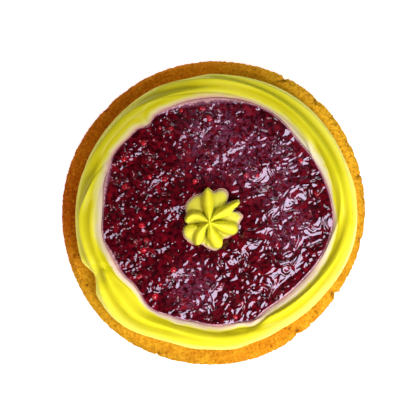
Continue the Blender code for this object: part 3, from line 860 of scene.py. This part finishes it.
def jam_finish(name, dark, bright):
    """Wet dark fruit under a clear skin."""
    paint = Paint(name, Roughness=0.6, Specular_IOR_Level=0.0, Coat_Roughness=0.04, Coat_IOR=1.5)
    patches = paint.noise(paint.place, 0.35, 3.0, 0.6)
    fruit = paint.noise(paint.place, 0.8, 2.0, 0.5)
    colour = paint.mix(paint.between(fruit, 0.38, 0.66), dark, bright)
    colour = paint.mix(paint.between(patches, 0.54, 0.70) * 0.35, colour, RED_FRUIT)
    cloudy = paint.between(paint.noise(paint.place, 0.9, 4.0, 0.65, 0.8), 0.44, 0.66)
    # A cloudy purplish grey painted over the jam in these patches.
    haze = paint.between(paint.value("haze"), 0.0, 1.0)
    colour = paint.mix(cloudy * haze * 0.75, colour, CLOUDY_HAZE)
    smear = paint.value("smear")
    colour = paint.mix(paint.between(smear, 0.02, 0.5) * 0.75, colour, SMEARED_JAM)
    smear = smear + paint.between(smear, 0.0, 0.3) * (cloudy - 0.5) * 0.5
    colour = paint.mix(paint.between(smear, 0.40, 0.85) * 0.85, colour, SMEARED_ICING)
    return paint.finish(Base_Color=colour, Coat_Weight=1.0 - paint.value("seedy") * 0.32)


# %% Jam: its lumps
# Each kind of relief: its height in millimetres, and how many there are to a millimetre.
JAM_RELIEF = {
    "Fold": (1.65, 0.25),
    "Lump": (0.95, 0.50),
    "Ripple": (0.22, 1.3),
    "Bead": (0.28, 1.05),
}
# The folds' pattern is turned by this many degrees and scaled by this, which draws them out one way.
JAM_FOLD_TURN = 43.0
JAM_FOLD_DRAW = (1.0, 0.72, 1.0)


def lump_up(pool, material):
    """Long folds where the jam is smooth, and patches of lumps, ripples and beads where it is seedy."""
    sizes = {}
    for kind, (height, per_mm) in JAM_RELIEF.items():
        sizes[kind + " height"] = height * MM
        sizes[kind + "s per mm"] = per_mm
    shaping = Shaping("jam lumps", sizes)
    place, seedy = shaping.place, shaping.value("seedy")
    turned = {"Vector": place, "Angle": math.radians(JAM_FOLD_TURN)}
    turned = shaping.add("ShaderNodeVectorRotate", {"rotation_type": "Z_AXIS"}, turned)
    drawn = shaping.add("ShaderNodeVectorMath", {"operation": "MULTIPLY"}, {0: turned, 1: JAM_FOLD_DRAW})
    folds = shaping.noise(drawn, shaping.size("Folds per mm"), 1.3, 0.45, 1.6) - 0.5
    lumps = 0.5 - shaping.cells(place, shaping.size("Lumps per mm"), 0.5)
    ripples = shaping.noise(place, shaping.size("Ripples per mm"), 2.0, 0.5, 0.6) - 0.5
    beads = 0.5 - shaping.cells(place, shaping.size("Beads per mm"), 0.3)
    clusters = shaping.between(shaping.noise(place, 0.22, 2.0), 0.42, 0.58)
    rise = folds * (1.0 - seedy * 0.84) * shaping.size("Fold height")
    rise = rise + beads * seedy**2.0 * shaping.size("Bead height")
    rise = rise + ripples * (0.10 + seedy * 0.50) * shaping.size("Ripple height")
    rise = rise + lumps * (0.05 + seedy * clusters * 0.8) * shaping.size("Lump height")
    mesh = shaping.push(shaping.mesh, (0.0, 0.0, 1.0), rise * shaping.value("loose"))
    return shaping.make(pool, mesh, "jam_pool", material)


# %% Jam: whole drupelets
DRUPELET_RADIUS = 1.05
DRUPELET_GAP = 3.0
DRUPELETS_PER_M2 = 14000.0
DRUPELET_SEED = 7
# A drupelet's width, depth and height as shares of a ball's, the turns it may have and its sizes.
DRUPELET_SHAPE = (1.0, 0.85, 0.62)
DRUPELET_TURNS = ((-0.5, -0.5, 0.0), (0.5, 0.5, 6.283))
DRUPELET_SIZES = (0.6, 1.1)


def drupelets_on(pool, material):
    """Flattened balls at random turns and sizes, most where the jam is seedy."""
    sizes = {"Radius": DRUPELET_RADIUS * MM, "Apart": DRUPELET_GAP * MM}
    sizes.update({"Per square metre": DRUPELETS_PER_M2, "Seed": DRUPELET_SEED})
    shaping = Shaping("drupelets", sizes)
    ball = {"Radius": shaping.size("Radius"), "Subdivisions": 3}
    ball = shaping.add("GeometryNodeMeshIcoSphere", None, ball)
    ball = shaping.add("GeometryNodeSetShadeSmooth", None, {"Geometry": ball})
    ball = shaping.add("GeometryNodeTransform", None, {"Geometry": ball, "Scale": DRUPELET_SHAPE})
    apart_by, density, seed = (shaping.size(label) for label in ("Apart", "Per square metre", "Seed"))
    share = shaping.value("fruity")
    spots = shaping.scatter(
        shaping.mesh, ball, apart_by, density, share, seed, DRUPELET_TURNS, DRUPELET_SIZES
    )
    return shaping.make(pool, spots, "jam_drupelets", material)


pool = make_jam()
jam = lump_up(pool, jam_finish("berry_jam", *JAM_TONES))
put_in_place(jam, "jam")
fruit = drupelets_on(jam, jam_finish("jam_drupelet", *DRUPELET_TONES))
put_in_place(fruit, "jam")
bpy.data.objects.remove(pool)

# %% [markdown]
# ## The star
# The small star was squeezed in one go: first a low lobed base spread under the tip, then six thick petals
# were drawn in to one swirl as the tip turned and lifted. Its height at each place is the higher of the
# base and the nearest petal. Each petal has a bent middle line, a width that grows from the swirl and a
# round end, and its outline at each lobe and notch is the one measured on the photo.

# %% Star: named sizes
STAR_TOP_HEIGHT = 6.6
STAR_TIP_HEIGHT = 4.2
STAR_LOBE_HEIGHT = 2.5
STAR_COLUMNS = 440
STAR_RINGS = 110
STAR_OUTLINE = (
    (0, 9), (12, 10.1), (19, 9.3), (27, 7.9), (31.5, 10.5), (36, 10.9),
    (41, 10.1), (47, 7.8), (56, 10.1), (63, 10.8), (73, 10.5), (83, 9.3),
    (94, 10.2), (101, 9.2), (120, 9.2), (136, 9), (148, 8.5), (159, 7.5),
    (175, 7.4), (185, 6.6), (192, 8), (205, 8.6), (226, 8.4), (239, 7.9),
    (248, 7), (262, 7.4), (285, 8.5), (296, 8.1), (308, 6.5), (321, 7.2),
    (331, 7.8), (338, 8.6),
)
# Each petal is a row of round drops from the swirl out: how much lower it lies than the others, then the
# distance from the swirl, the angle and the half width at some places along its middle line.
STAR_PETALS = (
    (0.0, ((0, 90, 0.35), (2, 93, 1), (3.7, 94.5, 1.55), (6, 94, 1.9), (8, 93, 1.65), (9.4, 94, 0.85))),
    (0.0, (
        (0, 50, 0.35), (1.4, 50, 0.6), (2.6, 46, 1.05), (4, 40, 1.5),
        (6.3, 34, 1.65), (8, 36, 1), (9.6, 35, 1.2),
    )),
    (0.0, ((0, -20, 0.35), (1.4, -18, 0.7), (3, -17, 1.3), (4.7, -16, 1.75), (6.7, -15, 2.05))),
    (0.0, ((0, -78, 0.35), (1.5, -77, 0.7), (3, -76, 1.35), (4.5, -73, 1.85), (6.1, -68, 2.05))),
    (0.3, ((0, 225, 0.35), (1.8, 222, 0.7), (3, 225, 1.15), (4.4, 230, 1.6), (6, 237, 1.45), (6.9, 240, 1))),
    (0.3, (
        (0, 140, 0.35), (1, 141, 0.6), (2.4, 147, 1.1), (3.8, 150, 1.4),
        (5, 156, 1.4), (6, 165, 1.2), (6.4, 173, 1),
    )),
    (2.2, ((4.4, 204, 1.2), (5.4, 205, 1.8), (6.3, 206, 2.2))),
)
STAR_DROPS = 30
# How far under the top the swirl's core stays at the middle, and how fast it falls off.
STAR_CORE_DROP = 0.4
STAR_CORE_SLOPE = 1.6
# How many times the height, the petals and the grooves are eased.
STAR_EASING = (14, 8, 5)
# The foot runs in to this share of the outline, and the rows crowd at the outline by this power.
STAR_FOOT = 0.955
STAR_CROWDING = 1.3
# The rounded foot's height, and the least height of the star inside it.
STAR_FOOT_HEIGHT = 0.55
STAR_LEAST_HEIGHT = 0.7
STAR_TONES = ((0.66, 0.67, 0.012), (0.76, 0.77, 0.035))
# Hollows in the base, also painted dark as their shade: angle, half width in degrees and the share of the
# height that is lost.
STAR_CREASES = ((187, 10, 0.95), (257, 8, 0.6), (47, 5, 0.3), (27, 5, 0.3), (310, 6, 0.3))


def star_radius(angle):
    outline = [(at - 360.0, radius) for at, radius in STAR_OUTLINE[-2:]]
    outline += list(STAR_OUTLINE)
    outline += [(at + 360.0, radius) for at, radius in STAR_OUTLINE[:2]]
    return along(outline, angle % 360.0)


# %% Star: the skin
def petal_drops(places):
    """Middles and half widths of the round drops that make one petal."""
    step = np.arange(len(places))
    at = np.linspace(0.0, step[-1], STAR_DROPS)
    out, angle, half = np.array(places, float).T
    return zip(*(along(list(zip(step, line)), at) for line in (*from_polar(out, angle), half)))


def star_surface(angle, distance, outline):
    """Height over the star's foot, how far each point is on a petal, and how deep between petals it lies,
    which is painted as shade.
    """
    share = np.clip(distance / outline, 0.0, 1.0)
    base = STAR_LOBE_HEIGHT * np.sqrt(np.clip(1.0 - share**4.0, 0.0, 1.0)) * (0.6 + 0.4 * smooth(share / 0.7))
    hollow_shade = 0.0 * base
    for at, half, lost in STAR_CREASES:
        sunk = lost * near(apart(angle, at), half) * smooth(distance / 3.0)
        base = base * (1.0 - sunk)
        hollow_shade = np.maximum(hollow_shade, sunk)
    x, y = from_polar(distance, angle)
    height, beside, crown = base, 0.0 * base, 0.0 * base
    for lower, places in STAR_PETALS:
        for drop_x, drop_y, half in petal_drops(places):
            out = math.hypot(drop_x, drop_y)
            crest = STAR_TOP_HEIGHT - lower - (STAR_TOP_HEIGHT - STAR_TIP_HEIGHT) * (out / 10.0) ** 1.2
            off = np.hypot(x - drop_x, y - drop_y) / half
            dome = np.clip(1.0 - off**2, 0.0, 1.0) ** 0.42
            raised = np.where(off < 1.0, crest * (0.30 + 0.70 * dome), 0.0)
            crown = np.where(raised > height, dome, crown)
            height = np.maximum(height, raised)
            if lower < 1.0:
                beside = np.maximum(beside, np.clip(1.0 - (off - 1.0) * half / 1.1, 0.0, 1.0))
    petal = smooth((height - base - 0.3) / 1.6)
    core = STAR_TOP_HEIGHT - STAR_CORE_DROP - STAR_CORE_SLOPE * distance
    # Painted shade beside the petals' feet, on their lower flanks and in the hollows.
    shade_depth = np.maximum(beside * (1.0 - petal), petal * (1.0 - crown) ** 1.5) + hollow_shade * (1.0 - petal)
    return np.maximum(height, core), petal, shade_depth


def softened(field, times):
    """A field of rows round the star, eased towards its neighbours a number of times."""
    for _ in range(times):
        field = 0.5 * field + 0.25 * (np.roll(field, 1, axis=1) + np.roll(field, -1, axis=1))
        field[1:-1] = 0.5 * field[1:-1] + 0.25 * (field[:-2] + field[2:])
    return field


def make_star():
    angle = circle_of(STAR_COLUMNS)[None, :]
    outline = star_radius(angle)
    inward = 1.0 - np.linspace(0.0, 1.0, STAR_RINGS)[1:-1] ** STAR_CROWDING
    share = np.concatenate([[STAR_FOOT, 1.0], inward])[:, None]
    distance = share * outline
    fields = star_surface(angle, distance, outline)
    height, petal, shade_depth = (softened(field, times) for field, times in zip(fields, STAR_EASING))
    floor = BISCUIT_HEIGHT + GAP + JAM_DEPTH - STAR_REST + GAP
    level = floor + np.maximum(height, STAR_LEAST_HEIGHT)
    level[0], level[1] = floor, floor + STAR_FOOT_HEIGHT
    edge = smooth((share - 0.80) / 0.22) * (1.0 - 0.70 * petal)
    lobe = 1.0 - petal
    # The star gets painted shade in its creases and on its low lobes, the lobes' paler tone and a stained
    # rim.
    values = {"shade_depth": shade_depth, "pale_and_lit": 0.35 * lobe, "shaded": 0.45 * lobe, "lip": 0.95 * edge}
    values["blush"] = np.ones_like(edge)
    x, y = from_polar(distance, angle)
    x, y = x + STAR_CENTRE[0], y + STAR_CENTRE[1]
    ends = [(*STAR_CENTRE, floor), (*STAR_CENTRE, floor + STAR_TOP_HEIGHT)]
    return closed_skin("icing_rosette", x, y, level, ends, values, upward=True)


star = make_star()
star.data.materials.append(icing_finish("lemon_icing_star", "shade_depth", *STAR_TONES))
put_in_place(star, "icing_star")
print("star points:", len(star.data.vertices))

# %% [markdown]
# ## Floor, light and camera
# The photo looks straight down in light from the lower right, with the rope's shadow over the crust at the
# upper left. One near window gives that light and three faint ones the small glints on the other sides.
# The sky is pale all round and dark overhead, so that level jam stays dark and its slopes shine.

# %% The stage
# Half the side of the floor, in metres.
FLOOR_HALF_SIDE = 1.5


def make_floor():
    mesh = bpy.data.meshes.new("floor")
    half = FLOOR_HALF_SIDE
    corners = [(-half, -half, 0), (half, -half, 0), (half, half, 0), (-half, half, 0)]
    mesh.from_pydata(corners, [], [(0, 1, 2, 3)])
    floor = new_object("floor", mesh)
    white = (0.9, 0.9, 0.9, 1.0)
    paper = Paint("pale_floor", Base_Color=white, Roughness=0.9, Emission_Color=white, Emission_Strength=0.8)
    floor.data.materials.append(paper.material)


# Each window: its direction in degrees, how far beside and above the middle it is and its two sides in
# metres, its watts and its colour.
WINDOWS = {
    "window": (-46.0, 0.11, 0.155, (0.095, 0.105), 0.56, (0.84, 0.75, 1.0)),
    "side_window": (178.0, 0.18, 0.16, (0.05, 0.04), 0.09, (1.0, 0.60, 0.62)),
    "far_window": (72.0, 0.18, 0.20, (0.12, 0.04), 0.145, (0.86, 0.84, 1.0)),
    "near_window": (-115.0, 0.20, 0.18, (0.06, 0.05), 0.19, (0.92, 0.90, 1.0)),
}


def add_window(name, azimuth, beside, above, sides, power, colour):
    """A window to one side of the cookie and above it, aimed at its middle."""
    lamp = new_object(name, bpy.data.lights.new(name, "AREA"))
    lamp.data.shape = "RECTANGLE"
    lamp.data.size, lamp.data.size_y = sides
    lamp.data.energy, lamp.data.color = power, colour
    lamp.location = (*from_polar(beside, azimuth), above)
    lamp.rotation_euler = (-lamp.location).to_track_quat("-Z", "Y").to_euler()


# The sky's brightness straight up and all round, its colour, and between which heights it changes.
SKY_OVERHEAD = 0.02
SKY_AROUND = 0.135
SKY_COLOUR = (1.0, 0.94, 0.97, 1.0)
SKY_CHANGE = (0.70, 0.96)


def make_surround():
    world = bpy.data.worlds.new("surround")
    world.use_nodes = True
    graph = Graph(world.node_tree)
    direction = graph.add("ShaderNodeTexCoord", output="Generated")
    upward = graph.add("ShaderNodeSeparateXYZ", None, {0: direction}, "Z")
    strength = SKY_OVERHEAD + (1.0 - graph.between(upward, *SKY_CHANGE)) * (SKY_AROUND - SKY_OVERHEAD)
    background = world.node_tree.nodes["Background"]
    background.inputs["Color"].default_value = SKY_COLOUR
    graph.feed(background.inputs["Strength"], strength)
    bpy.context.scene.world = world


make_floor()
for name, window in WINDOWS.items():
    add_window(name, *window)
make_surround()
bpy.context.scene.view_settings.view_transform = "Standard"
print("windows:", len(WINDOWS))

# %% The camera
PHOTO_SIDE_PX = 420.0
MM_PER_PX = 0.29624
COOKIE_CENTRE_PX = (213.5, 213.0)
# Heights of the camera and of the rim that the photo was measured at, in metres.
CAMERA_HEIGHT = 1.2
RIM_LEVEL = 0.0045

camera = new_object("camera", bpy.data.cameras.new("camera"))
camera.location = (
    (PHOTO_SIDE_PX / 2.0 - COOKIE_CENTRE_PX[0]) * MM_PER_PX * MM,
    (COOKIE_CENTRE_PX[1] - PHOTO_SIDE_PX / 2.0) * MM_PER_PX * MM,
    CAMERA_HEIGHT,
)
camera.data.sensor_width = 36.0
camera.data.lens = camera.data.sensor_width * (CAMERA_HEIGHT - RIM_LEVEL) / (PHOTO_SIDE_PX * MM_PER_PX * MM)
camera.data.clip_start, camera.data.clip_end = 0.05, 10.0
bpy.context.scene.camera = camera
print("lens in mm:", round(camera.data.lens, 1))
